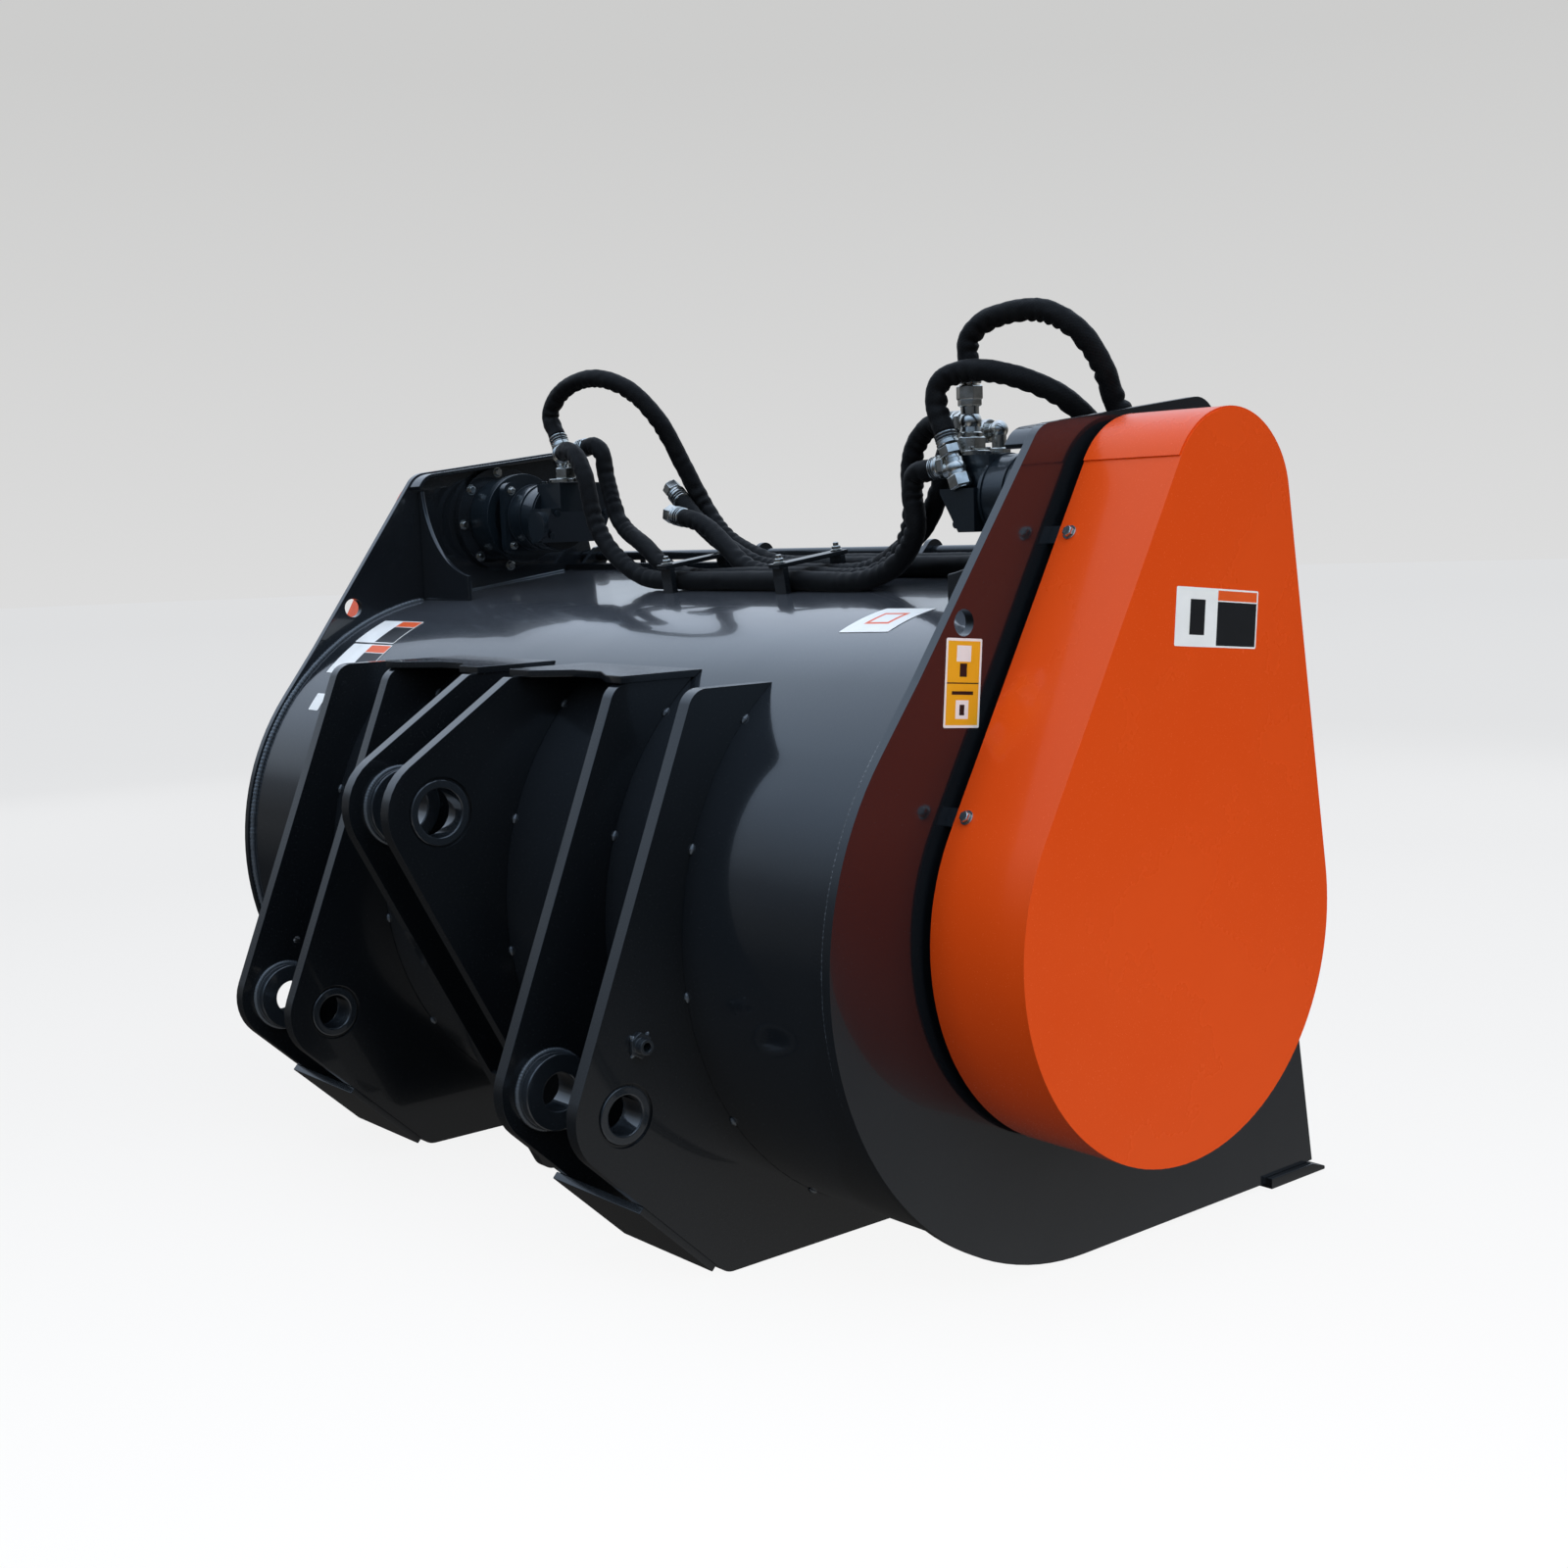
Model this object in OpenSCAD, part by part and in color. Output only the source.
// Concrete mixing bucket for a loader: a drum with a front mouth, a chain driven
// spiral rotor, two hydraulic motors and a rear bracket with boom and tilt ears.
// X runs along the drum, +Y points out of the mouth, the bucket rests on Z = 0.

/* [Drum] */
// Width over the outer faces of the two end plates
body_w = 1800; // [1500:10:2100]
// Outer radius of the drum shell
drum_r = 490; // [460:2:540]
// Thickness of the drum shell and the floor
shell_t = 8; // [6:1:12]
// Slope of the flat top sheet, rising towards the mouth
top_pitch = 7.6; // [4:0.2:9]
// Distance from the front of the drum circle back to the front edge of the top sheet
top_front_in = 190; // [180:1:205]

/* [End plates] */
// Thickness of an end plate
plate_t = 16; // [12:1:20]
// Overhang of the round rear of an end plate beyond the drum
plate_over = 10; // [8:1:14]
// Height of the rear corner of the plate head above the top of the drum
head_rear_up = 261; // [242:1:277]
// Height of the front corner of the plate head above the top of the drum
head_front_up = 310; // [292:1:327]
// Lean of the front edge over its lower part, as millimetres back per millimetre up
front_lean_share = 0.17; // [0.14:0.01:0.2]
// Radius of the lifting eye
lift_r = 19; // [15:1:22]

/* [Cutting edge] */
// Reach of the cutting edge ahead of the drum circle
lip_out = 115; // [100:1:130]
// Thickness of the cutting edge
lip_t = 18; // [12:1:20]
// Depth of the cutting edge from front to back
lip_w = 150; // [130:1:170]
// Depth of a side cutter from front to back
cutter_w = 130; // [110:1:150]

/* [Bracket ears] */
// Thickness of an ear plate
ear_t = 25; // [20:1:30]
// Distance from the middle to the outer face of an outer boom ear
boom_out = 560; // [540:1:600]
// Distance from the middle to the inner face of an inner boom ear
boom_in = 338; // [320:1:350]
// Distance from the middle to the outer face of a tilt ear
tilt_out = 78; // [72:1:90]
// Drop of the top edges of all ears below the top of the drum
ear_top_drop = 104; // [93:1:118]
// Radius of the boom pin bores
boom_pin_r = 30; // [24:1:34]
// Radius of the tilt pin bore
tilt_pin_r = 40; // [32:1:44]

/* [Chain drive] */
// Chain pitch
chain_pitch = 38.1; // [36:0.1:39]
// Teeth on the driven sprocket
driven_teeth = 42; // [38:1:43]
// Teeth on the drive sprocket
drive_teeth = 12; // [11:1:13]
// Depth of a chain cover from its open edge to its face
cover_depth = 176; // [165:1:190]
// Gap between the end plate and the open edge of the cover
cover_gap = 20; // [12:1:26]
// Sheet thickness of a chain cover
cover_t = 4; // [3:0.5:5]

/* [Rotor] */
// Gap between the mixing spirals and the inside of the drum shell
spiral_gap = 32; // [26:1:52]
// Width of a spiral band, measured along the radius
spiral_w = 70; // [50:1:90]
// Thickness of a spiral band
spiral_t = 10; // [8:1:14]
// Radius of the shaft tube inside the drum
shaft_r = 55; // [50:1:62]
// Radius of the shaft journals in their bearings
journal_r = 40; // [35:1:44]

/* [Hydraulics] */
// Radius of the round body of a motor
motor_r = 68; // [60:1:72]
// Radius of a sleeved hose
hose_r = 17.5; // [14:0.5:17.5]

/* [Grate] */
// Radius of the long hinge rod of the grate
hinge_r = 10; // [8:0.5:12]
// Length of the grate from its hinge to its lower rail
grate_l = 556; // [520:1:570]
// Radius of a round grate bar
grate_bar_r = 6; // [5:0.5:8]

/* [Hidden] */
$fn = 72;

// Overrun of every cut, and the running clearance of a shaft in its bore
cut = 1;
fit = 0.05;
seat_gap = 0.3;
corner_steps = 8;

// Places shared by many pieces, seen along X with the rotor axis at y = 0
half_w = body_w / 2;
inner_x = half_w - plate_t;
plate_r = drum_r + plate_over;
axis_z = drum_r + lip_t;
drum_top = axis_z + drum_r;
top_front_y = drum_r - top_front_in;
lip_y = drum_r + lip_out;
spiral_r = drum_r - shell_t - spiral_gap;
axis = [0, axis_z];
top_angle = 90 + top_pitch;
function on_circle(c, r, a) = c + r * [cos(a), sin(a)];
top_start = on_circle(axis, drum_r, top_angle);
function top_sheet_z(y, r = drum_r) =
    let(p = on_circle(axis, r, top_angle)) p[1] + (y - p[0]) * tan(top_pitch);

// Plate head and its bends
motor_back = 170;
motor_up = 162;
motor_y = top_front_y - motor_back;
motor_z = drum_top + motor_up;
head_rear_back = 201;
head_front_over = 18;
head_rear_y = motor_y - head_rear_back;
head_rear_z = drum_top + head_rear_up;
head_front_y = top_front_y + head_front_over;
head_front_z = drum_top + head_front_up;
head_corner_r = 48;
kink_shares = [-0.644, 0.804];
kink = axis + plate_r * kink_shares;
kink_bend_r = 120;
plate_bottom = axis_z - plate_r;
front_mid_up = 72;
front_mid_z = axis_z + front_mid_up;
front_bend_r = 200;
seam_drop = 78;
seam_top_z = axis_z - seam_drop;
lip_side = 12;
lip_nose = 6;
lip_ahead = 20;
front_foot_y = lip_y - lip_ahead;
lift_shares = [0.262519, 0.066211];
head_way = [head_rear_y, head_rear_z] - kink;
lift_at = kink + head_way * lift_shares[0] + [head_way[1], -head_way[0]] * lift_shares[1];
journal_hole_r = 62;

// Ear outlines
ear_top_z = drum_top - ear_top_drop;
ear_top_in = 39;
ear_top_y = ear_top_in - drum_r;
ear_top_r = 35;
boom_pin_out = 113;
boom_pin_drop = 222;
boom_pin_y = -drum_r - boom_pin_out;
boom_pin_z = axis_z - boom_pin_drop;
boom_nose_out = 103;
boom_nose_drop = 22;
boom_nose_y = boom_pin_y - boom_nose_out;
boom_nose_z = boom_pin_z - boom_nose_drop;
boom_nose_r = 87;
ear_foot_in = 61;
ear_foot_y = ear_foot_in - drum_r;
ear_foot_r = 35;
ear_end_y = -60;
tilt_pin_out = 114;
tilt_pin_up = 178;
tilt_pin_y = -drum_r - tilt_pin_out;
tilt_pin_z = axis_z + tilt_pin_up;
tilt_top_in = 31;
tilt_top_y = tilt_top_in - drum_r;
tilt_top_r = 12;
tilt_nose_out = 124;
tilt_nose_up = 32;
tilt_nose_y = tilt_pin_y - tilt_nose_out;
tilt_nose_z = tilt_pin_z + tilt_nose_up;
tilt_nose_r = 95;
tilt_foot_in = 135;
tilt_foot_y = tilt_foot_in - drum_r;
tilt_foot_r = 30;

// Bosses, ties and stops on the ears
boss_len = 26;
boss_r = 60;
boss_seat_r = 44;
groove_r = 48;
groove_t = 4;
tilt_boss_len = 20;
tilt_boss_r = 64;
tilt_seat_r = 54;
tilt_groove_r = 58;
lock_dy = 29;
lock_dz = 100;
lock_r = 12;
lock_hole_r = 6.8;
lock_len = 20;
lock_base_r = 20;
lock_base_t = 6;
tie_t = 12;
tie_over = 6;
tie_notch = 46;
tie_notch_x = 120;
tie_in = 50;
stop_t = 12;
stop_over = 8;
stop_shares = [0.46, 0.93];
web_t = 8;
web_shares = [0.72, 0.95];

// Plate head stiffening
flange_in = 3;
flange_t = 8;
flange_w = 42;
flange_rear_leg = 30;
flange_front_drop = 70;
gusset_t = 10;
gusset_y = -66;
gusset_w = 185;
gusset_top = 10;
gusset_toe = 12;
gusset_end_h = 50;
gusset_rise = 25;
gusset_drop = 36;

// Front beam and hinge
beam_d = 50;
beam_h = 60;
beam_wall = 5;
beam_up = 59;
beam_top_z = drum_top + beam_up;
hinge_up = 15;
hinge_y = top_front_y + beam_d;
hinge_z = beam_top_z + hinge_up;
lug_t = 12;
lug_r = 22;
lug_shares = [0, 0.35, 0.65, 1];
grate_lean = 13.5;
grate_gap = 9;
grate_rod_over = 4;
grate_back = 2;
grate_side_w = 38;
grate_side_t = 8;
rail_h = 40;
rail_t = 8;
grate_bar_count = 17;
grate_mid_share = 0.52;
stop_len = 34;
stop_deep = 14;
stop_high = 40;

// Chain cases
cover_shift = [5, 25];
cover_axis = axis + cover_shift;
cover_head_shift = [17, 20];
cover_head = [motor_y, motor_z] - cover_head_shift;
cap_t = 2.5;
cap_angle = 22;
tab_w = 28;
tab_t = 6;
tab_len = 54;
rear_tab_shares = [0.04, 0.8];
front_tab_shares = [0.12, 0.8];
low_tab_angles = [280, 320];
tab_gap = 0.5;
tab_bolt_x = 22;
bolt_head_r = 8.5;
bolt_head_t = 6.5;
washer_r = 11;
washer_t = 2;
shank_r = 5;
shank_len = 18;
large_share = 1.3;

// Bearings, shaft and sprockets
housing_half = 92;
housing_corner = 22;
housing_t = 18;
housing_r = 72;
housing_len = 60;
housing_bolt = 68;
seal_r = 58;
seal_t = 14;
seal_inset = 2;
sprocket_out = 100;
sprocket_x = half_w + sprocket_out;
sprocket_t = 16;
hub_r = 70;
hub_back = 34;
hub_front = 28;
drive_hub_r = 44;
drive_hub_back = 26;
drive_hub_front = 22;
shaft_out = 136;
shaft_end = half_w + shaft_out;
roller_r = 12.7;
tip_share = 0.62;
tooth_root_share = 0.32;
tooth_tip_share = 0.13;
lightening_r = 42;
lightening_at = 160;
lightening_count = 6;
chain_h = 34;
chain_plate_t = 4;
chain_side_gap = 4;
cover_room = 65.0826;
cover_head_room = 41.3965;
function pitch_r(teeth) = chain_pitch / (2 * sin(180 / teeth));
cover_r = pitch_r(driven_teeth) + chain_h / 2 + cover_room;
cover_head_r = pitch_r(drive_teeth) + chain_h / 2 + cover_head_room;

// Motor and its mounting
motor_hole_r = 72;
disc_r = 112;
disc_t = 20;
disc_bore_r = 60;
disc_bolt_at = 101;
disc_bolt_turn = 6;
disc_bolt_count = 8;
adapter_r = 86;
adapter_len = 86;
adapter_recess = 10;
adapter_bore_r = 74;
adapter_ring_r = 94;
adapter_ring_t = 22;
drive_shaft_r = 25;
drive_shaft_out = 134;
drive_shaft_end = half_w + drive_shaft_out;
motor_pilot_r = 60;
motor_pilot_t = 32;
motor_flange_half = 75;
motor_flange_corner = 20;
motor_flange_t = 18;
motor_len = 98;
block_len = 76;
block_half = 75;
block_top = 16;
block_low = 53;
block_slope_x = 40;
block_slope_z = 62;
port_near = 49;
port_far = 65;
port_len = 84;
port_h = 52;
side_cap_r = 30;
side_cap_t = 9;
side_cap_in = 42;
side_cap_drop = 20;
motor_bolt_r = 7;
motor_bolt_t = 9;
motor_bolt_at = 57;

// Hose clamps on the top sheet
clamp_x = [-150, 180];
clamp_near_y = 44;
clamp_far_y = 178;
clamp_post_t = 12;
clamp_post_w = 30;
clamp_post_h = 46;
clamp_bar_t = 8;
clamp_over = 8;

// Hose routes, with the rotor axis at y = 0
route_1 = [[-560, 89, 1287], [-522, 74, 1291], [-480, 66, 1278], [-442, 60, 1235],
    [-410, 60, 1140], [-355, 63, 1080], [-265, 68, 1036], [-150, 68, 1030], [370, 68, 1031],
    [455, 67, 1062], [498, 64, 1115], [494, 61, 1172], [505, 60, 1202], [548, 60, 1209]];
route_2 = [[-562, 150, 1299], [-534, 150, 1301], [-509, 150, 1284], [-497, 149, 1240],
    [-442, 140, 1146], [-330, 120, 1094], [-245, 108, 1052], [-160, 106, 1035], [340, 106, 1037],
    [412, 106, 1070], [446, 106, 1125], [446, 107, 1222], [464, 109, 1262], [495, 110, 1282],
    [537, 110, 1282]];
route_3 = [[-608, 110, 1322], [-634, 111, 1366], [-606, 114, 1405], [-540, 120, 1430],
    [-470, 130, 1430], [-400, 152, 1400], [-354, 186, 1336], [-330, 222, 1250],
    [-300, 248, 1170], [-240, 247, 1113], [-166, 245, 1080], [-70, 245, 1055],
    [640, 245, 1054], [735, 246, 1066], [785, 252, 1120], [790, 245, 1200], [768, 200, 1262],
    [740, 145, 1315], [670, 100, 1351], [600, 80, 1360], [560, 64, 1344], [556, 60, 1308],
    [574, 60, 1264]];
route_4 = [[-320, 207, 1181], [-280, 207, 1148], [-230, 207, 1114], [-170, 207, 1085],
    [-70, 207, 1051], [740, 207, 1049], [796, 214, 1066], [830, 238, 1112], [836, 252, 1180],
    [826, 244, 1245], [802, 208, 1295], [797, 185, 1352], [770, 158, 1411], [715, 140, 1445],
    [650, 127, 1447], [603, 116, 1434], [581, 110, 1410], [581, 110, 1368]];
route_5 = [[-248, 155, 1148], [-205, 155, 1140], [-160, 154, 1121], [-110, 150, 1090],
    [-58, 146, 1058], [0, 144, 1042], [240, 144, 1040], [310, 144, 1048], [372, 145, 1078],
    [430, 147, 1116], [466, 153, 1180], [474, 162, 1238], [500, 168, 1266], [546, 168, 1268]];
hose_sides = 10;

// The routes were drawn for a motor whose inner end is here; the fittings move with it
route_motor = [564, 130, 1160];

// Fittings at the hose ends
ferrule_r = 15;
ferrule_len = 26;
stem_r = 13;
arm_r = 11.5;
hub_ball_r = 17;
tee_at = 60;
port_in = 22;
nut_r = 22;
nut_h = 24;
small_nut_r = 17;
port_flange_r = 33;
port_flange_t = 8;
end_nut_len = 26;

// The bounding box is centred on the origin, so everything shifts by this much along Y
tilt_reach = tilt_nose_r - tilt_pin_y;
drum_y = (tilt_reach - lip_y) / 2;

paint = "#2b3138";
ear_paint = "#20252b";
orange = "#d9501c";
zinc = "#c9ccd0";
cast = "#1f2d38";
rubber = "#1b1c1e";
steel = "#8d9298";

module in_frame() {
    translate([0, drum_y, 0]) children();
}

module both_sides() {
    children();
    mirror([1, 0, 0]) children();
}

// A flat shape drawn as (y, z), given thickness t along X from x
module slab(x, t) {
    translate([x, 0, 0]) rotate([90, 0, 90]) linear_extrude(t) children();
}

// A round bar from point p to point q
module rod(p, q, r, sides = 36) {
    d = q - p;
    translate(p) rotate([0, acos(d[2] / norm(d)), atan2(d[1], d[0])])
        cylinder(h = norm(d), r = r, $fn = sides);
}

module bar_x(x, l, r, at, sides = $fn) {
    translate([x, at[0], at[1]]) rotate([0, 90, 0]) cylinder(h = l, r = r, $fn = sides);
}

function unit(v) = v / norm(v);
function flat(p) = [p[0], p[1]];

// Points that round corner b between its neighbours a and c with radius r
function corner_arc(a, b, c, r) = r == 0 ? [b] :
    let(u = unit(a - b), v = unit(c - b), half = acos(u * v) / 2,
        m = b + unit(u + v) * r / sin(half), p = b + u * r / tan(half) - m,
        q = b + v * r / tan(half) - m, start = atan2(p[1], p[0]),
        turn = (atan2(q[1], q[0]) - start + 540) % 360 - 180)
    [for (i = [0:corner_steps]) on_circle(m, r, start + turn * i / corner_steps)];

// An outline of [y, z, corner radius] rows
function rounded(rows) = let(n = len(rows))
    [for (i = [0:n - 1]) each corner_arc(flat(rows[(i + n - 1) % n]), flat(rows[i]),
        flat(rows[(i + 1) % n]), rows[i][2])];

function along(p, q, share) = p + (q - p) * share;

// The front edge of an end plate over its lower part
function front_y(z) = front_foot_y - front_lean_share * (z - lip_t);
// Where a line from p touches the round rear of the plate
function touch(p, r) = let(d = p - axis) on_circle(axis, r, atan2(d[1], d[0]) + acos(r / norm(d)));
kink_touch = touch(kink, plate_r);

plate_rows = [[0, plate_bottom, 0], [front_y(lip_t) - cutter_w, plate_bottom, 0],
    [front_y(lip_t) - cutter_w, lip_t, 0], [front_y(seam_top_z) - cutter_w, seam_top_z, 0],
    [front_y(seam_top_z), seam_top_z, 0], [front_y(front_mid_z), front_mid_z, front_bend_r],
    [head_front_y, head_front_z, head_corner_r], [head_rear_y, head_rear_z, head_corner_r],
    [kink[0], kink[1], kink_bend_r], [kink_touch[0], kink_touch[1], 0], [axis[0], axis[1], 0]];

module end_plate() {
    color(paint) in_frame() slab(inner_x, plate_t) difference() {
        union() {
            polygon(rounded(plate_rows));
            intersection() {
                translate(axis) circle(r = plate_r, $fn = 144);
                polygon([[0, plate_bottom - cut], [0, axis_z], kink_touch,
                    kink_touch - [plate_r, 0], [-2 * plate_r, plate_bottom - cut]]);
            }
        }
        translate(lift_at) circle(r = lift_r);
        translate(axis) circle(r = journal_hole_r);
        translate([motor_y, motor_z]) circle(r = motor_hole_r);
    }
}
module end_plate_right() end_plate();
module end_plate_left() mirror([1, 0, 0]) end_plate();

module shell_profile() {
    inner_start = on_circle(axis, drum_r - shell_t, top_angle);
    far = on_circle(axis, 2 * drum_r, top_angle);
    difference() {
        translate(axis) circle(r = drum_r, $fn = 144);
        translate(axis) circle(r = drum_r - shell_t, $fn = 144);
        polygon([axis, [0, -cut], [2 * drum_r, -cut], [2 * drum_r, far[1]], far]);
    }
    polygon([top_start, inner_start, [top_front_y, top_sheet_z(top_front_y, drum_r - shell_t)],
        [top_front_y, top_sheet_z(top_front_y)]]);
}
module drum_shell() {
    color(paint) in_frame() slab(-inner_x, 2 * inner_x) shell_profile();
}

lip_back_y = lip_y - lip_w;
floor_z = axis_z - drum_r;
module floor_plate() {
    color(paint) in_frame() translate([-inner_x, 0, floor_z])
        cube([2 * inner_x, lip_back_y + lip_w / 3, shell_t]);
}

module cutting_edge() {
    color(ear_paint) in_frame() slab(-half_w - lip_side, body_w + 2 * lip_side)
        polygon([[lip_back_y, 0], [lip_y, 0], [lip_y, lip_nose],
            [lip_y - 2 * lip_t, lip_t], [lip_back_y, lip_t]]);
}

module side_cutters() {
    color(paint) in_frame() both_sides() slab(inner_x, plate_t)
        polygon([[front_y(lip_t) - cutter_w, lip_t], [front_y(lip_t), lip_t],
            [front_y(seam_top_z), seam_top_z], [front_y(seam_top_z) - cutter_w, seam_top_z]]);
}

module front_beam() {
    color(paint) in_frame() slab(-inner_x, 2 * inner_x)
        translate([top_front_y, beam_top_z - beam_h]) difference() {
            square([beam_d, beam_h]);
            translate([beam_wall, beam_wall]) square([beam_d - 2 * beam_wall, beam_h - 2 * beam_wall]);
        }
}

// Ears end on the drum surface
ear_inside_y = -drum_r / 3;
boom_rows = [[ear_inside_y, ear_top_z, 0], [ear_top_y, ear_top_z, ear_top_r],
    [boom_nose_y, boom_nose_z, boom_nose_r], [ear_foot_y, 0, ear_foot_r],
    [ear_end_y, 0, 0], [ear_end_y, drum_r / 4, 0]];
tilt_rows = [[ear_inside_y, ear_top_z, 0], [tilt_top_y, ear_top_z, tilt_top_r],
    [tilt_nose_y, tilt_nose_z, tilt_nose_r], [tilt_foot_y, 0, tilt_foot_r],
    [ear_end_y, 0, 0], [ear_end_y, drum_r / 4, 0]];

module ear(x, rows, pin, hole_r, ring_r, ring_x, lock) {
    color(ear_paint) in_frame() difference() {
        slab(x, ear_t) difference() {
            polygon(rounded(rows));
            translate(axis) circle(r = drum_r, $fn = 144);
            translate(pin) circle(r = hole_r);
        }
        bar_x(ring_x, groove_t, ring_r, pin);
        if (lock) bar_x(x - cut, ear_t + 2 * cut, lock_hole_r, pin + [lock_dy, lock_dz], 24);
    }
}
boom_pin = [boom_pin_y, boom_pin_z];
tilt_pin = [tilt_pin_y, tilt_pin_z];
module boom_ear_outer() {
    ear(boom_out - ear_t, boom_rows, boom_pin, boss_seat_r, groove_r, boom_out - groove_t, true);
}
module boom_ear_inner() {
    ear(boom_in, boom_rows, boom_pin, boss_seat_r, groove_r, boom_in, false);
}
module boom_ear_1() mirror([1, 0, 0]) boom_ear_outer();
module boom_ear_2() mirror([1, 0, 0]) boom_ear_inner();
module boom_ear_3() boom_ear_inner();
module boom_ear_4() boom_ear_outer();
module tilt_ear() {
    ear(tilt_out - ear_t, tilt_rows, tilt_pin, tilt_seat_r, tilt_groove_r, tilt_out - groove_t, false);
}
module tilt_ear_right() tilt_ear();
module tilt_ear_left() mirror([1, 0, 0]) tilt_ear();

// A turned boss whose spigot fills the ear and whose shoulder stands beside it.
// side is 1 when the shoulder stands on the +X side of an ear that starts at x
module boss(x, side, pin, seat_r, shoulder_r, len, bore_r) {
    difference() {
        union() {
            bar_x(x, ear_t, seat_r, pin);
            bar_x(side > 0 ? x + ear_t : x - len, len, shoulder_r, pin);
        }
        bar_x(x - len - cut, ear_t + 2 * len + 2 * cut, bore_r, pin);
    }
}
module boom_bosses() {
    color(ear_paint) in_frame() both_sides() {
        boss(boom_in, 1, boom_pin, boss_seat_r, boss_r, boss_len, boom_pin_r);
        boss(boom_out - ear_t, -1, boom_pin, boss_seat_r, boss_r, boss_len, boom_pin_r);
    }
}
module tilt_bosses() {
    color(ear_paint) in_frame() both_sides()
        boss(tilt_out - ear_t, -1, tilt_pin, tilt_seat_r, tilt_boss_r, tilt_boss_len, tilt_pin_r);
}
module pin_lock_bosses() {
    color(ear_paint) in_frame() both_sides() difference() {
        union() {
            bar_x(boom_out, lock_base_t, lock_base_r, boom_pin + [lock_dy, lock_dz], 6);
            bar_x(boom_out, lock_len, lock_r, boom_pin + [lock_dy, lock_dz]);
        }
        bar_x(boom_out - cut, lock_len + 2 * cut, lock_hole_r, boom_pin + [lock_dy, lock_dz], 24);
    }
}

// Tie plates lie on the top edges of a tilt ear and the boom ear next to it
module top_ties() {
    tie_out = boom_in + ear_t + tie_over;
    rear = -ear_top_y - tie_over;
    color(ear_paint) in_frame() both_sides() difference() {
        translate([0, 0, ear_top_z]) linear_extrude(tie_t)
            polygon([[tie_in, -rear], [tie_in + tie_notch_x / 2, -rear],
                [tie_in + tie_notch_x, tie_notch - rear], [tie_out - tie_notch_x, tie_notch - rear],
                [tie_out - tie_notch_x / 3, -rear], [tie_out, -rear],
                [tie_out, ear_inside_y], [tie_in, ear_inside_y]]);
        bar_x(0, tie_out + cut, drum_r, axis, 144);
    }
}

// Stop plates lie under the slanted lower edges of a pair of boom ears
function slant_point(share) = along([boom_nose_y, boom_nose_z], [ear_foot_y, 0], share);
module stop_plates() {
    a = slant_point(stop_shares[0]);
    b = slant_point(stop_shares[1]);
    n = unit([b[1] - a[1], a[0] - b[0]]);
    color(ear_paint) in_frame() both_sides()
        slab(boom_in - stop_over, boom_out - boom_in + stop_over)
            polygon([a, b, b + stop_t * [n[0], n[1]], a + stop_t * [n[0], n[1]]]);
}
// The web closes the gap between the tilt ears along their lower edge
module tilt_web() {
    a = along([tilt_nose_y, tilt_nose_z], [tilt_foot_y, 0], web_shares[0]);
    b = along([tilt_nose_y, tilt_nose_z], [tilt_foot_y, 0], web_shares[1]);
    n = unit([a[1] - b[1], b[0] - a[0]]);
    color(ear_paint) in_frame() slab(ear_t - tilt_out, 2 * (tilt_out - ear_t))
        polygon([a, b, b + web_t * n, a + web_t * n]);
}

// Flat bar inside the plate head, just below its top edge
function inset(a, b, c, d) = let(u = unit(a - b), v = unit(c - b))
    b + unit(u + v) * d / sin(acos(u * v) / 2);
head_rear = [head_rear_y, head_rear_z];
head_front = [head_front_y, head_front_z];
front_mid = [front_y(front_mid_z), front_mid_z];
function flange_rows(d) = let(
        rear = inset(kink, head_rear, head_front, d),
        front = inset(head_rear, head_front, front_mid, d),
        rear_way = unit(kink - head_rear), front_way = unit(front_mid - head_front))
    [[rear[0] + rear_way[0] * flange_rear_leg, rear[1] + rear_way[1] * flange_rear_leg, 0],
     [rear[0], rear[1], head_corner_r - d], [front[0], front[1], head_corner_r - d],
     [front[0] + front_way[0] * (flange_front_drop + head_corner_r),
        front[1] + front_way[1] * (flange_front_drop + head_corner_r), 0]];
module head_flanges() {
    outer = rounded_open(flange_rows(flange_in));
    inner = rounded_open(flange_rows(flange_in + flange_t));
    n = len(inner);
    color(paint) in_frame() both_sides() slab(inner_x - flange_w, flange_w)
        polygon(concat(outer, [for (i = [0:n - 1]) inner[n - 1 - i]]));
}
// An open path, rounded at its inner corners only
function rounded_open(rows) = let(n = len(rows))
    concat([flat(rows[0])],
        [for (i = [1:n - 2]) each corner_arc(flat(rows[i - 1]), flat(rows[i]),
            flat(rows[i + 1]), rows[i][2])],
        [flat(rows[n - 1])]);

module head_gussets() {
    base_z = axis_z + sqrt(pow(drum_r, 2) - pow(gusset_y, 2));
    top_z = head_rear_z - gusset_drop;
    curve_z = top_z + gusset_rise;
    curve_r = curve_z - base_z - gusset_end_h;
    curve_in = gusset_top + sqrt(pow(curve_r, 2) - pow(gusset_rise, 2));
    color(paint) in_frame() both_sides() difference() {
        translate([0, gusset_y + gusset_t, 0]) rotate([90, 0, 0]) linear_extrude(gusset_t)
            difference() {
                translate([inner_x - gusset_w, base_z - gusset_toe])
                    square([gusset_w, top_z - base_z + gusset_toe]);
                translate([inner_x - curve_in, curve_z]) circle(r = curve_r);
            }
        bar_x(inner_x - 2 * gusset_w, 3 * gusset_w, drum_r, axis, 144);
        slab(inner_x - 2 * gusset_w, 3 * gusset_w) polygon([[top_start[0], axis_z], top_start,
            [top_front_y, top_sheet_z(top_front_y)], [top_front_y, axis_z]]);
    }
}

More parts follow.
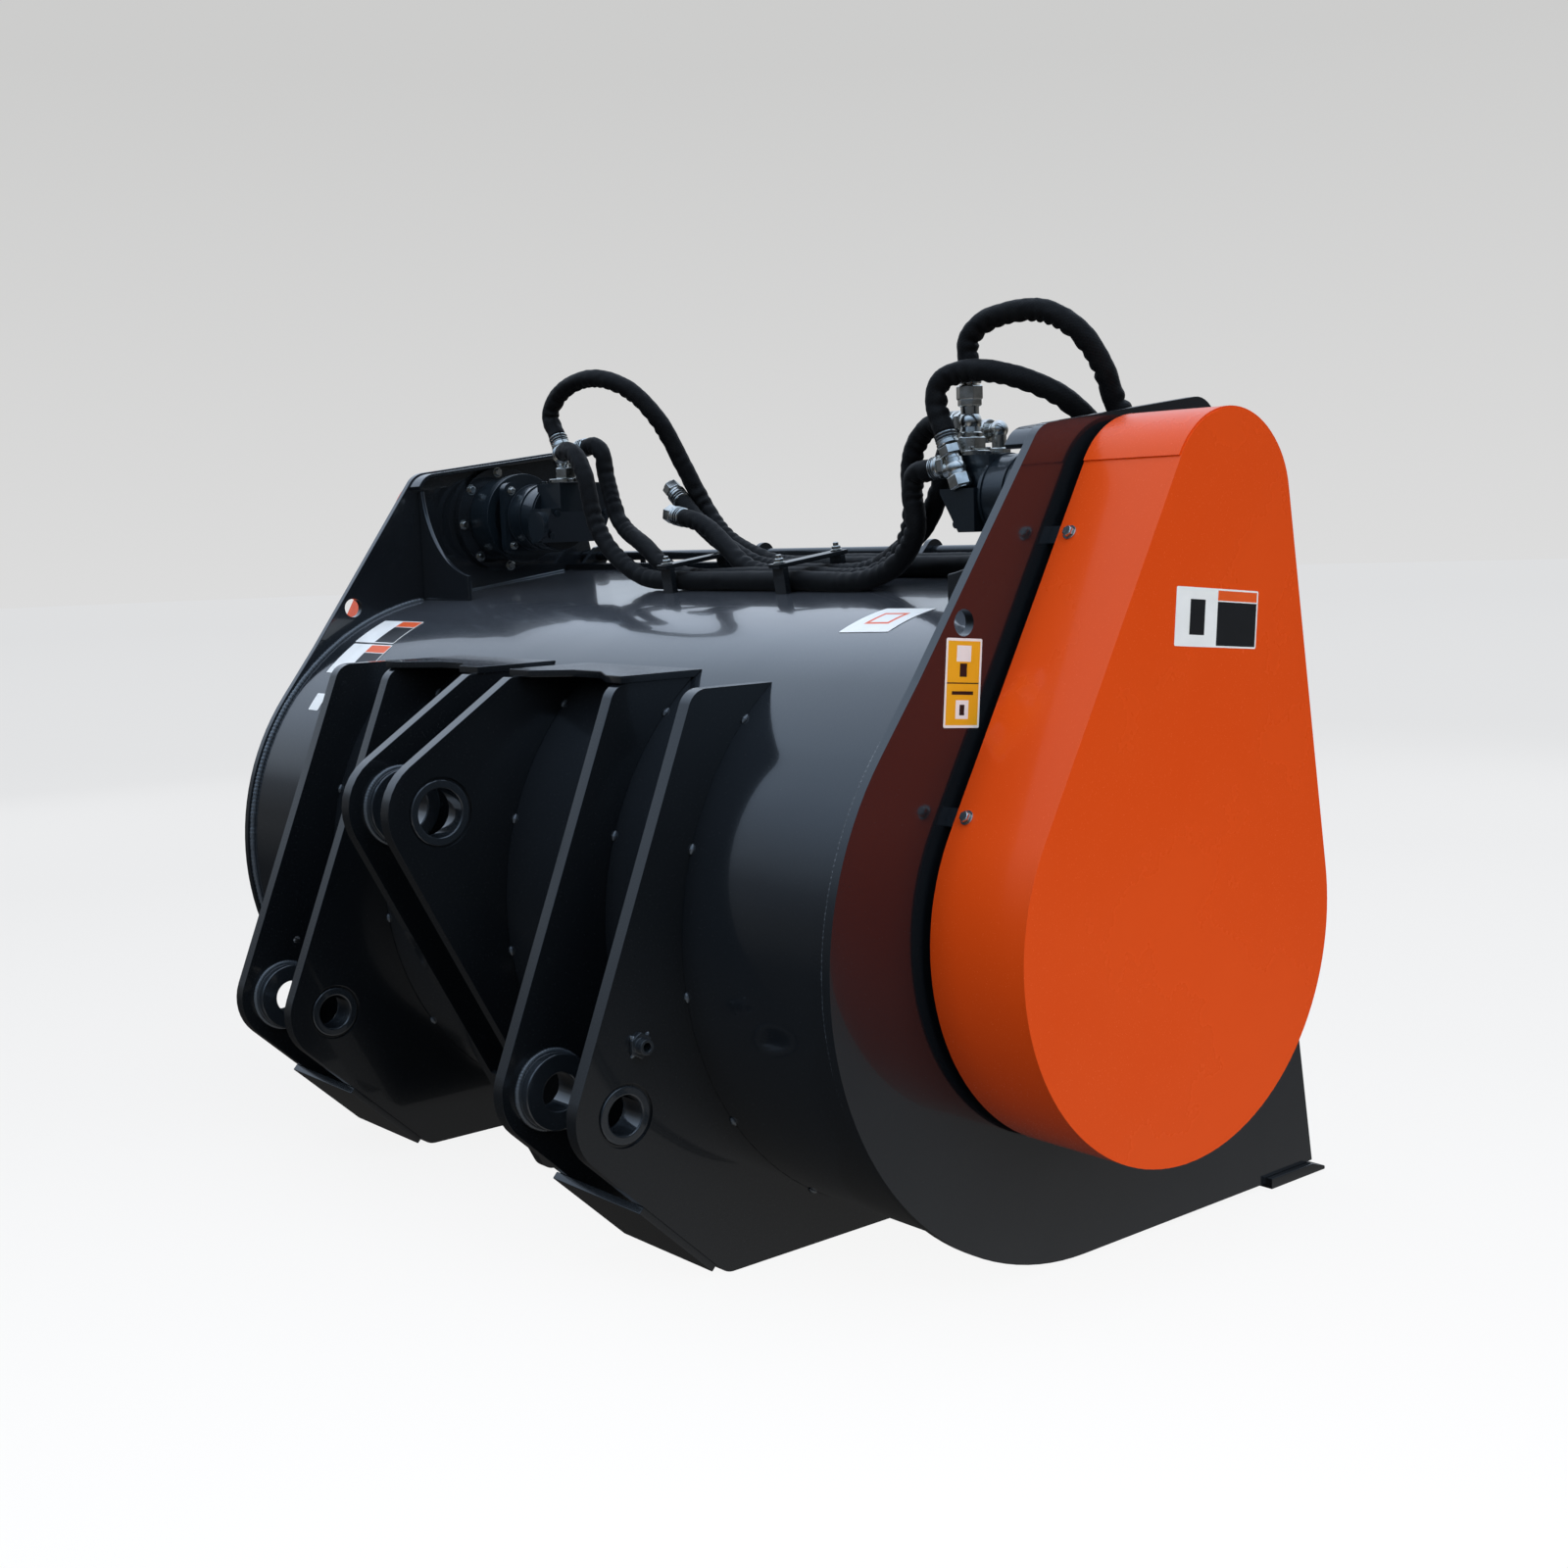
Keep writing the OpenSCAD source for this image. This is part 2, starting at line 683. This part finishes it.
// Two circles joined by their outer tangents, with the corners just inside the
// circles so that line and circle cross instead of touching
tangent_in = 0.02;
module belt(c1, r1, c2, r2) {
    d = c2 - c1;
    a = atan2(d[1], d[0]);
    b = acos((r1 - r2) / norm(d));
    translate(c1) circle(r = r1, $fn = 144);
    translate(c2) circle(r = r2, $fn = 96);
    polygon([on_circle(c1, r1 - tangent_in, a + b), on_circle(c1, r1 - tangent_in, a - b),
        on_circle(c2, r2 - tangent_in, a - b), on_circle(c2, r2 - tangent_in, a + b)]);
}
cover_way = cover_head - cover_axis;
cover_line_a = atan2(cover_way[1], cover_way[0]);
cover_line_b = acos((cover_r - cover_head_r) / norm(cover_way));
function cover_side(share, s) = along(
    on_circle(cover_axis, cover_r, cover_line_a + s * cover_line_b),
    on_circle(cover_head, cover_head_r, cover_line_a + s * cover_line_b), share);
// Every tab place as [y, z, angle of the outward normal]
tab_places = concat(
    [for (t = rear_tab_shares) let(p = cover_side(t, 1)) [p[0], p[1], cover_line_a + cover_line_b]],
    [for (t = front_tab_shares) let(p = cover_side(t, -1)) [p[0], p[1], cover_line_a - cover_line_b]],
    [for (g = low_tab_angles) let(p = on_circle(cover_axis, cover_r, g)) [p[0], p[1], g]]);
cover_x = half_w + cover_gap;

module tab_bore(p, depth) {
    translate([cover_x + tab_bolt_x, p[0], p[1]]) rotate([p[2], 0, 0])
        translate([0, depth, 0]) rotate([-90, 0, 0]) children();
}
module cover_tabs() {
    color(paint) in_frame() both_sides() for (p = tab_places) difference() {
        translate([half_w, p[0], p[1]]) rotate([p[2], 0, 0])
            translate([0, -cover_t - tab_gap - tab_t, -tab_w / 2]) cube([tab_len, tab_t, tab_w]);
        tab_bore(p, -cover_t - tab_t - 2 * cut)
            cylinder(h = 2 * tab_t + 2 * cut, r = shank_r + fit, $fn = 24);
    }
}
module chain_cover() {
    color(orange) in_frame() difference() {
        union() {
            difference() {
                slab(cover_x, cover_depth) belt(cover_axis, cover_r, cover_head, cover_head_r);
                slab(cover_x - cut, cover_depth - cover_t + cut)
                    belt(cover_axis, cover_r - cover_t, cover_head, cover_head_r - cover_t);
            }
            slab(cover_x, cover_depth - cap_t) intersection() {
                difference() {
                    translate(cover_head) circle(r = cover_head_r + cap_t, $fn = 96);
                    translate(cover_head) circle(r = cover_head_r - cover_t / 2, $fn = 96);
                }
                polygon([on_circle(cover_head, 2 * cover_head_r, cover_line_a + cover_line_b),
                    cover_head, on_circle(cover_head, 2 * cover_head_r, cap_angle),
                    on_circle(cover_head, 3 * cover_head_r, cover_line_a)]);
            }
        }
        for (p = tab_places) tab_bore(p, -2 * cover_t)
            cylinder(h = 3 * cover_t, r = shank_r + fit, $fn = 24);
    }
}
module chain_cover_right() chain_cover();
module chain_cover_left() mirror([1, 0, 0]) chain_cover();

// A hexagon bolt head on its washer, standing on z = 0
module bolt_head(scale_share = 1) {
    cylinder(h = washer_t * scale_share, r = washer_r * scale_share, $fn = 24);
    translate([0, 0, washer_t * scale_share])
        cylinder(h = bolt_head_t * scale_share, r = bolt_head_r * scale_share, $fn = 6);
}
module cover_bolts() {
    color(zinc) in_frame() both_sides() for (p = tab_places) {
        tab_bore(p, 0) bolt_head();
        tab_bore(p, -shank_len) cylinder(h = shank_len + cut, r = shank_r, $fn = 24);
    }
}

// Motor mounting: disc on the plate, adapter with the bearing, then the motor
motor_axis = [motor_y, motor_z];
disc_x = inner_x - disc_t;
adapter_x = disc_x - adapter_len;
module motor_discs() {
    color(paint) in_frame() both_sides() slab(disc_x, disc_t) translate(motor_axis) difference() {
        circle(r = disc_r);
        circle(r = disc_bore_r);
    }
}
module motor_adapters() {
    color(cast) in_frame() both_sides() difference() {
        union() {
            bar_x(adapter_x, adapter_len, adapter_r, motor_axis);
            bar_x(adapter_x, adapter_ring_t, adapter_ring_r, motor_axis);
        }
        bar_x(adapter_x - cut, adapter_recess + cut, adapter_bore_r, motor_axis);
        bar_x(adapter_x - cut, adapter_len + 2 * cut, drive_shaft_r + fit, motor_axis);
    }
}
motor_x = adapter_x + adapter_recess;
flange_x = motor_x - motor_pilot_t;
block_x = flange_x - motor_flange_t - motor_len;
block_end = block_x - block_len;

// The motor with its shaft end at x = 0 and its body along -X, on the origin axis
module motor_shape(cap_side) {
    flange_rows = [for (s = [[-1, -1], [1, -1], [1, 1], [-1, 1]])
        [s[0] * motor_flange_half, s[1] * motor_flange_half, motor_flange_corner]];
    block_at = motor_x - block_x;
    bar_x(-motor_pilot_t - cut, motor_pilot_t + cut, motor_pilot_r, [0, 0]);
    slab(-motor_pilot_t - motor_flange_t, motor_flange_t) polygon(rounded(flange_rows));
    bar_x(-block_at - cut, motor_len + 2 * cut, motor_r, [0, 0]);
    translate([0, block_half, 0]) rotate([90, 0, 0]) linear_extrude(2 * block_half)
        polygon([[-block_at, -block_low], [-block_at - block_len + block_slope_x, -block_low],
            [-block_at - block_len, block_slope_z - block_low],
            [-block_at - block_len, block_top], [-block_at, block_top]]);
    translate([-block_at - block_len + cut, -port_near, block_top - cut])
        cube([port_len, port_near + port_far, port_h + cut]);
    translate([side_cap_in - block_at - block_len, cap_side * (block_half - cut), -side_cap_drop])
        rotate([-90 * cap_side, 0, 0]) cylinder(h = side_cap_t + cut, r = side_cap_r);
}
module motor_right() {
    color(cast) in_frame() translate([motor_x, motor_y, motor_z]) motor_shape(1);
}
module motor_left() {
    color(cast) in_frame() mirror([1, 0, 0]) translate([motor_x, motor_y, motor_z]) motor_shape(-1);
}
module motor_bolts() {
    color(zinc) in_frame() both_sides() {
        for (i = [0:disc_bolt_count - 1]) let(
            p = on_circle(motor_axis, disc_bolt_at, 90 + disc_bolt_turn + 360 / disc_bolt_count * i))
            translate([disc_x, p[0], p[1]]) rotate([0, -90, 0]) bolt_head();
        for (i = [0:3]) let(
            p = on_circle(motor_axis, motor_bolt_at * sqrt(2), 45 + 90 * i))
            bar_x(flange_x - motor_flange_t - motor_bolt_t, motor_bolt_t, motor_bolt_r, p, 6);
    }
}

// Bearings of the rotor
module bearing_housings() {
    rows = [for (s = [[-1, -1], [1, -1], [1, 1], [-1, 1]])
        [s[0] * housing_half, axis_z + s[1] * housing_half, housing_corner]];
    color(cast) in_frame() both_sides() difference() {
        union() {
            slab(half_w, housing_t) polygon(rounded(rows));
            bar_x(half_w, housing_len, housing_r, axis);
        }
        bar_x(half_w - cut, housing_len + 2 * cut, journal_r + fit, axis);
    }
}
module bearing_bolts() {
    color(zinc) in_frame() both_sides() for (sy = [-1, 1], sz = [-1, 1])
        translate([half_w + housing_t, sy * housing_bolt, axis_z + sz * housing_bolt])
            rotate([0, 90, 0]) bolt_head(large_share);
}
module shaft_seals() {
    color(rubber) in_frame() both_sides() difference() {
        bar_x(inner_x + seal_inset, plate_t - seal_inset, journal_hole_r, axis);
        bar_x(inner_x, plate_t + cut, journal_r + fit, axis);
    }
}

// Sprockets and chain
function tooth_points(teeth) =
    let(root = pitch_r(teeth) - roller_r, tip = pitch_r(teeth) + roller_r * tip_share,
        step = 360 / teeth)
    [for (i = [0:teeth - 1]) each [
        on_circle([0, 0], root, step * (i - tooth_root_share)),
        on_circle([0, 0], tip, step * (i - tooth_tip_share)),
        on_circle([0, 0], tip, step * (i + tooth_tip_share)),
        on_circle([0, 0], root, step * (i + tooth_root_share))]];
module sprocket(teeth, at, bore_r, wide_r, back, front, holes) {
    color(steel) in_frame() difference() {
        union() {
            slab(sprocket_x - sprocket_t / 2, sprocket_t) translate(at) polygon(tooth_points(teeth));
            bar_x(sprocket_x - back, back + front, wide_r, at);
        }
        bar_x(sprocket_x - back - cut, back + front + 2 * cut, bore_r, at);
        if (holes) for (i = [0:lightening_count - 1])
            bar_x(sprocket_x - sprocket_t, 2 * sprocket_t, lightening_r,
                on_circle(at, lightening_at, 360 / lightening_count * i));
    }
}
module driven_sprocket_right() {
    sprocket(driven_teeth, axis, journal_r, hub_r, hub_back, hub_front, true);
}
module driven_sprocket_left() mirror([1, 0, 0]) driven_sprocket_right();
module drive_sprocket_right() {
    sprocket(drive_teeth, motor_axis, drive_shaft_r, drive_hub_r, drive_hub_back, drive_hub_front, false);
}
module drive_sprocket_left() mirror([1, 0, 0]) drive_sprocket_right();
module drive_shaft_right() {
    color(steel) in_frame() bar_x(motor_x + seat_gap, drive_shaft_end - motor_x, drive_shaft_r, motor_axis);
}
module drive_shaft_left() mirror([1, 0, 0]) drive_shaft_right();

// The chain's two rows of side plates run beside the sprockets, joined by rollers
// on the free stretches
chain_r1 = pitch_r(driven_teeth);
chain_r2 = pitch_r(drive_teeth);
chain_way = motor_axis - axis;
chain_a = atan2(chain_way[1], chain_way[0]);
chain_b = acos((chain_r1 - chain_r2) / norm(chain_way));
chain_in = sprocket_t / 2 + chain_side_gap;
module chain_row(x) {
    slab(x, chain_plate_t) difference() {
        belt(axis, chain_r1 + chain_h / 2, motor_axis, chain_r2 + chain_h / 2);
        belt(axis, chain_r1 - chain_h / 2, motor_axis, chain_r2 - chain_h / 2);
    }
}
module chain() {
    free_len = sqrt(pow(norm(chain_way), 2) - pow(chain_r1 - chain_r2, 2));
    count = floor(free_len / chain_pitch) - 4;
    color(steel) in_frame() {
        chain_row(sprocket_x - chain_in - chain_plate_t);
        chain_row(sprocket_x + chain_in);
        for (s = [-1, 1], i = [1:count]) let(
            p = on_circle(axis, chain_r1, chain_a + s * chain_b),
            q = on_circle(motor_axis, chain_r2, chain_a + s * chain_b),
            m = along(p, q, (i + 2) * chain_pitch / free_len))
            bar_x(sprocket_x - chain_in, 2 * chain_in, roller_r, m, 16);
    }
}
module chain_right() chain();
module chain_left() mirror([1, 0, 0]) chain();

// Rotor
mid_len = 2 * (inner_x - 2 * seal_t);
module rotor_shaft() {
    color(steel) in_frame() {
        bar_x(-mid_len / 2, mid_len, shaft_r, axis);
        bar_x(-shaft_end, 2 * shaft_end, journal_r, axis);
    }
}
spiral_in = 34;
spiral_end = inner_x - spiral_in;
spiral_start = 40;
spiral_turn = 360;
spiral_steps = 48;
arm_count = 5;
arm_w = 46;
arm_t = 14;
function spiral_x(share) = spiral_start + (spiral_end - spiral_start) * share;
function spiral_angle(share) = 90 + spiral_turn * share;
module rotor_arms() {
    arm_end = (spiral_r - spiral_w) * cos(180 / spiral_steps) - 3 * seat_gap;
    color(steel) in_frame() both_sides() difference() {
        for (i = [0:arm_count - 1]) let(share = (i + 0.5) / arm_count)
            translate([spiral_x(share), 0, axis_z]) rotate([spiral_angle(share) - 90, 0, 0])
                translate([-arm_t / 2, -arm_w / 2, 0]) cube([arm_t, arm_w, arm_end]);
        bar_x(0, half_w, shaft_r, axis);
    }
}
// A band that winds round the shaft: four corners a ring, closed at both ends
module spiral() {
    ring = function(share) let(a = spiral_angle(share), x = spiral_x(share))
        [for (c = [[-1, 0], [1, 0], [1, 1], [-1, 1]])
            let(r = c[1] == 0 ? spiral_r - spiral_w : spiral_r)
            [x + c[0] * spiral_t / 2, r * cos(a), axis_z + r * sin(a)]];
    points = [for (i = [0:spiral_steps]) each ring(i / spiral_steps)];
    sides = [for (i = [0:spiral_steps - 1], k = [0:3]) let(a = 4 * i + k, b = 4 * i + (k + 1) % 4)
        each [[a, b, b + 4], [a, b + 4, a + 4]]];
    last = 4 * spiral_steps;
    color(steel) in_frame()
        polyhedron(points, concat([[0, 3, 2], [0, 2, 1]], sides,
            [[last, last + 1, last + 2], [last, last + 2, last + 3]]));
}
module spiral_right() spiral();
module spiral_left() mirror([1, 0, 0]) spiral();

// Hinged grate over the upper part of the mouth
hinge = [hinge_y, hinge_z];
grate_half = inner_x - grate_gap;
grate_step = 2 * grate_half / (grate_bar_count + 1);
function lug_x(share) = grate_step * (round(share * grate_bar_count) + 0.5) - grate_half;
module hinge_lugs() {
    color(ear_paint) in_frame() for (s = lug_shares)
        difference() {
            slab(lug_x(s) - lug_t / 2, lug_t) union() {
                translate(hinge) circle(r = lug_r);
                polygon([[hinge_y - beam_d + beam_wall, beam_top_z], [hinge_y, beam_top_z],
                    [hinge_y + lug_r * cos(20), hinge_z - lug_r * sin(20)],
                    [hinge_y - lug_r * sin(40), hinge_z + lug_r * cos(40)]]);
            }
            bar_x(lug_x(s) - lug_t, 2 * lug_t, hinge_r + fit, hinge);
            translate([lug_x(s) - lug_t, hinge_y - beam_d, beam_top_z - 2 * lug_r])
                cube([2 * lug_t, beam_d, 2 * lug_r]);
        }
}
// Local frame of the grate: z runs from the hinge down along the bars
module on_grate() {
    translate([0, hinge_y, hinge_z]) rotate([180 + grate_lean, 0, 0]) children();
}
module grate_frame() {
    color(ear_paint) in_frame() {
        bar_x(-grate_half - grate_rod_over, 2 * (grate_half + grate_rod_over), hinge_r, hinge);
        on_grate() {
            both_sides() translate([grate_half - grate_side_t, grate_back - grate_side_w, -hinge_r])
                cube([grate_side_t, grate_side_w, grate_l + hinge_r]);
            for (z = [grate_l - rail_h - cut, grate_l * grate_mid_share])
                translate([cut - grate_half, grate_back - rail_t - cut, z])
                    cube([2 * (grate_half - cut), rail_t, rail_h]);
        }
    }
}
module grate_bars() {
    color(ear_paint) in_frame() difference() {
        on_grate() for (i = [1:grate_bar_count])
            translate([grate_step * i - grate_half, grate_back - rail_t - cut - grate_bar_r, 0])
                cylinder(h = grate_l - 2 * cut, r = grate_bar_r, $fn = 24);
        bar_x(-half_w, body_w, hinge_r, hinge);
    }
}
// The closed grate leans on two stops welded inside the end plates
module grate_stops() {
    color(ear_paint) in_frame() both_sides() on_grate()
        translate([inner_x - stop_len, grate_back + seat_gap, grate_l - rail_h - stop_high])
            cube([stop_len, stop_deep, stop_high]);
}

// Hose clamps stand square on the sloping top sheet
module on_sheet(x, y) {
    translate([x, y, top_sheet_z(y)]) rotate([top_pitch, 0, 0]) children();
}
module clamp_posts() {
    color(ear_paint) in_frame() for (x = clamp_x, y = [clamp_near_y, clamp_far_y])
        on_sheet(x, y) translate([-clamp_post_w / 2, -clamp_post_t / 2, 0])
            cube([clamp_post_w, clamp_post_t, clamp_post_h]);
}
module clamp_bars() {
    span = (clamp_far_y - clamp_near_y) / cos(top_pitch);
    color(ear_paint) in_frame() for (x = clamp_x) on_sheet(x, clamp_near_y)
        translate([-clamp_post_w / 2, -clamp_over - clamp_post_t / 2, clamp_post_h])
            cube([clamp_post_w, span + clamp_post_t + 2 * clamp_over, clamp_bar_t]);
}
module clamp_bolts() {
    color(zinc) in_frame() for (x = clamp_x, y = [clamp_near_y, clamp_far_y])
        on_sheet(x, y) translate([0, 0, clamp_post_h + clamp_bar_t]) bolt_head();
}

// A tube swept along a route, with its ends square to the first and last stretch
function heading(route, i) = let(n = len(route) - 1)
    i == 0 ? unit(route[1] - route[0]) : i == n ? unit(route[n] - route[n - 1]) :
    unit(unit(route[i + 1] - route[i]) + unit(route[i] - route[i - 1]));
function square_to(v, t) = unit(v - (v * t) * t);
function carried(route, i) = i == 0 ? square_to([0.3, 1, 0.2], heading(route, 0)) :
    square_to(carried(route, i - 1), heading(route, i));
module hose(route) {
    n = len(route);
    points = [for (i = [0:n - 1]) let(t = heading(route, i), u = carried(route, i), v = cross(t, u))
        for (k = [0:hose_sides - 1]) let(a = 360 / hose_sides * k)
            route[i] + hose_r * (cos(a) * u + sin(a) * v)];
    sides = [for (i = [0:n - 2], k = [0:hose_sides - 1])
        let(a = hose_sides * i + k, b = hose_sides * i + (k + 1) % hose_sides)
        each [[a, b + hose_sides, b], [a, a + hose_sides, b + hose_sides]]];
    first = [for (k = [1:hose_sides - 2]) [0, k, k + 1]];
    last = hose_sides * (n - 1);
    end = [for (k = [1:hose_sides - 2]) [last, last + k + 1, last + k]];
    color(rubber) in_frame() polyhedron(points, concat(first, sides, end));
}
module hose_1() hose(route_1);
module hose_2() hose(route_2);
module hose_3() hose(route_3);
module hose_4() hose(route_4);
module hose_5() hose(route_5);

// A crimped ferrule behind a hose end, and the point where it stops
function route_end(route, last) = last ? route[len(route) - 1] : route[0];
function route_way(route, last) = last ? heading(route, len(route) - 1) : -heading(route, 0);
function behind(route, last, l) = route_end(route, last) + route_way(route, last) * l;
module ferrule(route, last) {
    rod(behind(route, last, seat_gap), behind(route, last, ferrule_len), ferrule_r);
}
port_z = route_motor[2] + block_top + port_h;
motor_shift = [block_end, motor_y, motor_z] - route_motor;
up = [0, 0, 1];
tee = behind(route_3, true, tee_at);
// Only what stands above height z, so that a leaning fitting ends on its seat
module above(z) {
    intersection() {
        children();
        translate([-half_w, 0, z]) cube([body_w, plate_r, plate_r]);
    }
}
module fittings_right() {
    color(zinc) in_frame() translate(motor_shift) {
        top = route_end(route_4, true);
        foot_a = [top[0], top[1], port_z];
        hub_a = [top[0], top[1], route_end(route_2, true)[2]];
        foot_b = behind(route_3, true, tee_at + (tee[2] - route_motor[2] - block_top) / -route_way(route_3, true)[2]);
        hub_c = behind(route_5, true, ferrule_len + hub_ball_r);
        // Flanged tower with the elbow of hose 2 and the swivel of hose 4
        rod(foot_a, foot_a + up * port_flange_t, port_flange_r);
        rod(foot_a, foot_a + up * (port_flange_t + nut_h), nut_r + fit, 6);
        rod(foot_a, hub_a, stem_r);
        translate(hub_a) sphere(r = hub_ball_r);
        rod(hub_a, behind(route_4, true, ferrule_len / 2), stem_r - fit);
        rod(behind(route_4, true, ferrule_len + nut_h), behind(route_4, true, ferrule_len - cut), nut_r, 6);
        ferrule(route_4, true);
        ferrule(route_2, true);
        rod(behind(route_2, true, ferrule_len / 2), hub_a, arm_r);
        // Leaning tee of hoses 1 and 3
        above(route_motor[2] + block_top) {
            rod(behind(route_3, true, 2 * tee_at), behind(route_3, true, ferrule_len / 2), arm_r);
            rod(behind(route_3, true, 2 * tee_at), along(foot_b, tee, 0.6), small_nut_r, 6);
        }
        translate(tee) sphere(r = hub_ball_r - cut);
        rod(behind(route_3, true, tee_at / 2 + nut_h / 2), behind(route_3, true, ferrule_len - cut), small_nut_r, 6);
        ferrule(route_3, true);
        ferrule(route_1, true);
        rod(behind(route_1, true, ferrule_len / 2), tee, arm_r - cut);
        // Elbow of hose 5
        translate(hub_c) sphere(r = hub_ball_r);
        rod([hub_c[0], hub_c[1], port_z], hub_c, arm_r);
        rod([hub_c[0], hub_c[1], port_z], [hub_c[0], hub_c[1], port_z + nut_h / 2], small_nut_r, 6);
        rod(hub_c, behind(route_5, true, ferrule_len / 2), arm_r - cut);
        ferrule(route_5, true);
    }
}
module fittings_left() {
    color(zinc) in_frame() translate([-motor_shift[0], motor_shift[1], motor_shift[2]]) {
        foot_a = [-route_motor[0] - port_in, route_end(route_3, false)[1], port_z];
        head_a = behind(route_3, false, ferrule_len);
        hub_a = along(foot_a, head_a, 0.7);
        hub_b = behind(route_2, false, ferrule_len + hub_ball_r);
        rod(foot_a, foot_a + up * port_flange_t, port_flange_r);
        rod(foot_a, foot_a + up * (port_flange_t + nut_h), nut_r, 6);
        above(port_z) rod(along(foot_a, hub_a, -0.5), hub_a, stem_r);
        rod(hub_a, behind(route_3, false, ferrule_len / 2), arm_r);
        translate(hub_a) sphere(r = hub_ball_r);
        ferrule(route_3, false);
        ferrule(route_1, false);
        rod(behind(route_1, false, ferrule_len / 2), hub_a, arm_r - cut);
        translate(hub_b) sphere(r = hub_ball_r);
        rod([hub_b[0], hub_b[1], port_z], hub_b, arm_r);
        rod([hub_b[0], hub_b[1], port_z], [hub_b[0], hub_b[1], port_z + nut_h / 2], small_nut_r, 6);
        rod(hub_b, behind(route_2, false, ferrule_len / 2), arm_r - cut);
        ferrule(route_2, false);
    }
}
// The two free hose ends carry a ferrule and a swivel nut
module hose_ends() {
    color(zinc) in_frame() for (route = [route_4, route_5]) {
        ferrule(route, false);
        rod(behind(route, false, ferrule_len - cut), behind(route, false, ferrule_len + end_nut_len), small_nut_r, 6);
    }
}

drum_shell();
floor_plate();
cutting_edge();
end_plate_left();
end_plate_right();
side_cutters();
front_beam();
boom_ear_1();
boom_ear_2();
boom_ear_3();
boom_ear_4();
tilt_ear_left();
tilt_ear_right();
boom_bosses();
tilt_bosses();
pin_lock_bosses();
top_ties();
stop_plates();
tilt_web();
head_gussets();
head_flanges();
cover_tabs();
chain_cover_left();
chain_cover_right();
cover_bolts();
motor_discs();
motor_adapters();
motor_left();
motor_right();
motor_bolts();
fittings_left();
fittings_right();
clamp_posts();
clamp_bars();
clamp_bolts();
bearing_housings();
bearing_bolts();
shaft_seals();
chain_left();
chain_right();
rotor_shaft();
rotor_arms();
spiral_left();
spiral_right();
driven_sprocket_left();
driven_sprocket_right();
drive_shaft_left();
drive_shaft_right();
drive_sprocket_left();
drive_sprocket_right();
hinge_lugs();
grate_frame();
grate_bars();
grate_stops();
hose_1();
hose_2();
hose_3();
hose_4();
hose_5();
hose_ends();
